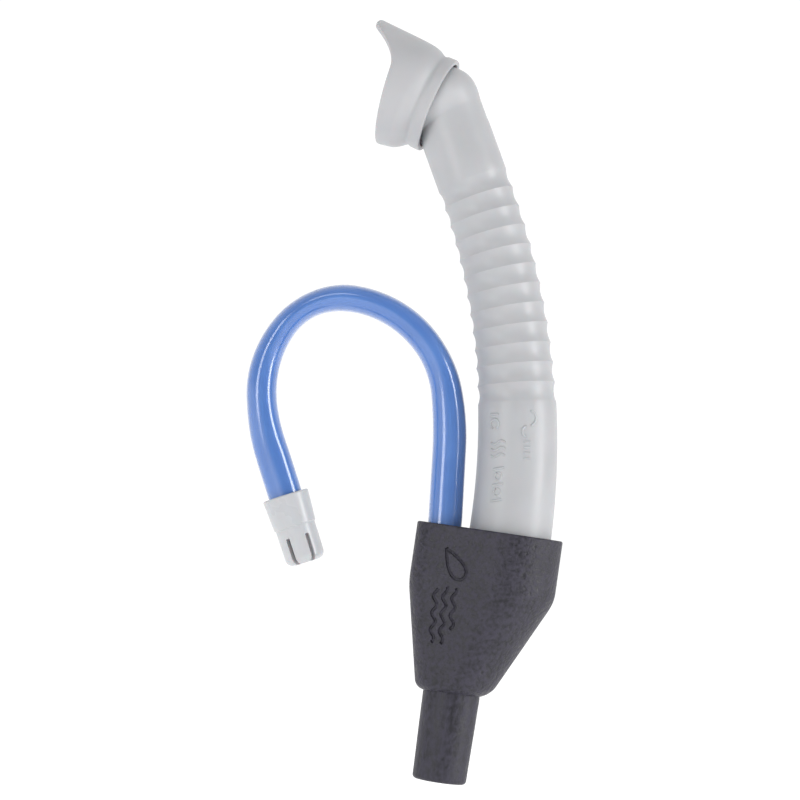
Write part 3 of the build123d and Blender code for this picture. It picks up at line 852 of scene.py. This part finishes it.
def make_shield():
    """Columns run from the collar's rim to the mouth's edge and back inside."""
    columns = []
    for number in range(SHIELD_COLUMNS):
        angle = 2 * math.pi * number / SHIELD_COLUMNS
        # The edge depends on the height and the height on the edge, so the end is closed in on
        end = 12.0
        for _ in range(40):
            height = read(end, SHIELD_RISES) + read(end, SHIELD_RADII) * math.cos(angle)
            end += 0.5 * (mouth_edge(height) - end)
        column = [(d, 0.0) for d in (-0.3, -0.2, -0.05, 0.5, 1.2, 1.7, 2.0, 2.3, 2.6, 3.0, 3.5,
                                     4.0, 4.6, 5.2)]
        column += [(d, 0.0) for d in steps(5.2, end - 0.35, 12)[1:]]
        column += [(end - 0.1, 0.08), (end, 0.32), (end, 0.75), (end - 0.1, 1.0)]
        column += [(d, SHIELD_WALL) for d in steps(end - 0.35, 4.2, 12)]
        points = [shield_point(d, angle, inset) for d, inset in column]
        out = mouth_up * math.cos(angle) + cannula_side * math.sin(angle)
        inner = [(3.4, 8.75), (WEB_END, 8.35), (WEB_END, 7.15), (WEB_END - 0.1, 7.05),
                 (WEB_START + 0.1, 7.05), (WEB_START, 7.15), (WEB_START, COLLAR_BORE - 0.2),
                 (WEB_START - 0.2, COLLAR_BORE), (-0.15, COLLAR_BORE), (COLLAR_RIM, 8.95)]
        points += [collar + mouth * d + out * r for d, r in inner]
        columns.append(points)
    shield = skin("shield_cup", [list(map(list, zip(*columns)))], loop=True)
    shade(shield, 32.0)
    dress(shield, cannula_grey, "cannula_grey", "cannula_shield")
    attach(shield, "shield")


make_shield()


# --- Saliva ejector ---
ejector_lean = Vector((-1.0, 0.0, 0.0))
ejector = Path(Vector((EJECTOR_X, 0, EJECTOR_FOOT_Z)), ejector_lean, TUBE_RUNS)
FRONT = Vector((0.0, -1.0, 0.0))
PIECE_ENDS = (0.0, 50.0, 84.0, ejector.length)


def tube_radii(distance, inset):
    """Half width in the plane of the bends, and half breadth square to it."""
    half = read(distance, TUBE_WIDTHS, ease=True) / 2
    return half - inset, math.sqrt(2 * TUBE_RADIUS ** 2 - half * half) - inset


def tube_ring(distance, inset, count=72):
    """Points and normals of the tube's section."""
    point, heading = ejector.at(distance)
    across = FRONT.cross(heading)
    half, breadth = tube_radii(distance, inset)
    points = ring(point, across, FRONT, half, breadth, count)
    normals = [n.normalized() for n in ring(Vector(), across, FRONT, 1 / half, 1 / breadth, count)]
    return points, normals


def tube_strip(stations):
    """Rings and normals for (distance, inset) stations; a negative inset marks the bore."""
    rings, normals = [], []
    for distance, inset, facing in stations:
        points, outs = tube_ring(distance, inset)
        rings.append(points)
        normals += [out * facing for out in outs]
    return rings, normals


def make_tube(name, number, nodes):
    """One length of the tube, open where it meets its neighbour."""
    first, last = PIECE_ENDS[number], PIECE_ENDS[number + 1]
    count = int((last - first) / 0.8)
    outside = [(d, 0.0, 1) for d in steps(first, last, count)]
    inside = [(d, TUBE_WALL, -1) for d in steps(last, first, count)]
    strips = [outside, inside]
    if number == 0:
        outside[0] = (0.0, 0.3, 1)
        outside.insert(1, (0.3, 0.0, 1))
        strips = [inside + [(0.0, TUBE_WALL, -1)] + outside]
    if number == 2:
        strips = [outside + inside]
    rings, normals = [], []
    for strip in strips:
        strip_rings, strip_normals = tube_strip(strip)
        rings.append(strip_rings)
        normals += strip_normals
    tube = skin(name, rings)
    tube.data.normals_split_custom_set_from_vertices([tuple(n) for n in normals])
    dress(tube, tube_blue, "ejector_blue", *nodes)
    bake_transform(tube)


def make_wire(name, number, nodes):
    """The wire that holds the tube's shape, moulded into its front wall."""
    first, last = PIECE_ENDS[number], PIECE_ENDS[number + 1]
    first, last = max(first, 1.0), min(last, ejector.length - 1.0)
    rings = []
    for d in steps(first, last, int((last - first) / 1.0)):
        point, heading = ejector.at(d)
        breadth = tube_radii(d, WIRE_DEPTH)[1]
        centre = point + FRONT * breadth
        rings.append(ring(centre, FRONT.cross(heading), FRONT, WIRE_RADIUS, WIRE_RADIUS, 16))
    wire = skin(name, [rings], caps=True)
    shade(wire, 40.0)
    dress(wire, wire_metal, "wire_brass", *nodes)
    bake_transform(wire)


# Each length is its word, its number, its two bodies, the joint between them and the words of
# the CAD nodes it stands for
LENGTHS = [
    ("foot", 0, "riser", "rear_arch", "riser_bend", ("riser", "rear_arch")),
    ("crest", 1, "rear_arch", "front_arch", "crest_bend", ("front_arch",)),
    ("end", 2, "front_arch", "drop", "drop_bend", ("drop",)),
]
for word, number, body_a, body_b, joint, node_words in LENGTHS:
    tube_nodes = [f"tube_{node}" for node in node_words]
    wire_nodes = [f"wire_{node}" for node in node_words]
    make_tube(f"tube_{word}_length", number, tube_nodes)
    make_wire(f"wire_{word}_length", number, wire_nodes)


# --- Slotted tip ---
TIP_COLLAR_RADII, BASKET_RADIUS, TIP_END_RADIUS = (4.64, 4.24), 4.0, 3.9
TIP_END_BORE, TIP_AXIS_HOLE = 3.75, 0.02
# The turn of the first slot from the front, and the depths each slot is cut between
SLOT_TURN, SLOT_DEPTHS, SLOT_OVERRUN = 28.0, (1.7, 6.0), 8.0


def make_tip():
    """Collar and basket turned round the tube's end, with slots that run over the end."""
    origin, axis = ejector.at(ejector.length - TUBE_IN_TIP)
    start = FRONT.cross(axis)
    length = TIP_COLLAR_LENGTH + BASKET_LENGTH
    bore = TUBE_RADIUS + 0.05
    profile = [
        (bore, 0.0),
        (TIP_COLLAR_RADII[0], 0.0),
        (TIP_COLLAR_RADII[1], TIP_COLLAR_LENGTH - 0.1),
        (BASKET_RADIUS, TIP_COLLAR_LENGTH + 0.1),
        (TIP_END_RADIUS, length),
        (TIP_AXIS_HOLE, length),
        (TIP_AXIS_HOLE, length - BASKET_WALL),
        (TIP_END_BORE - BASKET_WALL, length - BASKET_WALL),
        (BASKET_RADIUS - BASKET_WALL, TIP_COLLAR_LENGTH + 0.3),
        (BASKET_RADIUS - BASKET_WALL, TUBE_IN_TIP + 0.3),
        (bore, TUBE_IN_TIP + 0.3),
    ]
    profile = rounded(profile, {0: 0.15, 1: 0.35, 4: 1.5, 7: 0.6}, segments=9)
    tip = lathe("slotted_tip", profile, origin, axis, start, count=144)
    foot = TIP_COLLAR_LENGTH + SLOT_START
    for number in range(SLOT_COUNT):
        angle = math.radians(SLOT_TURN + 360.0 * number / SLOT_COUNT)
        out = FRONT * math.cos(angle) + start * math.sin(angle)
        tangent = axis.cross(out)
        rows = []
        for depth in SLOT_DEPTHS:
            rows.append([
                origin + out * depth + tangent * (SLOT_WIDTH * across) + axis * (foot + along)
                for across, along in ((-0.5, 0.2), (-0.3, 0.0), (0.3, 0.0), (0.5, 0.2),
                                      (0.5, SLOT_OVERRUN), (-0.5, SLOT_OVERRUN))
            ])
        cut(tip, skin("cutter", [rows], caps=True))
    shade(tip, 30.0)
    dress(tip, tip_white, "tip_white", "ejector_tip")
    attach(tip, "drop")


make_tip()
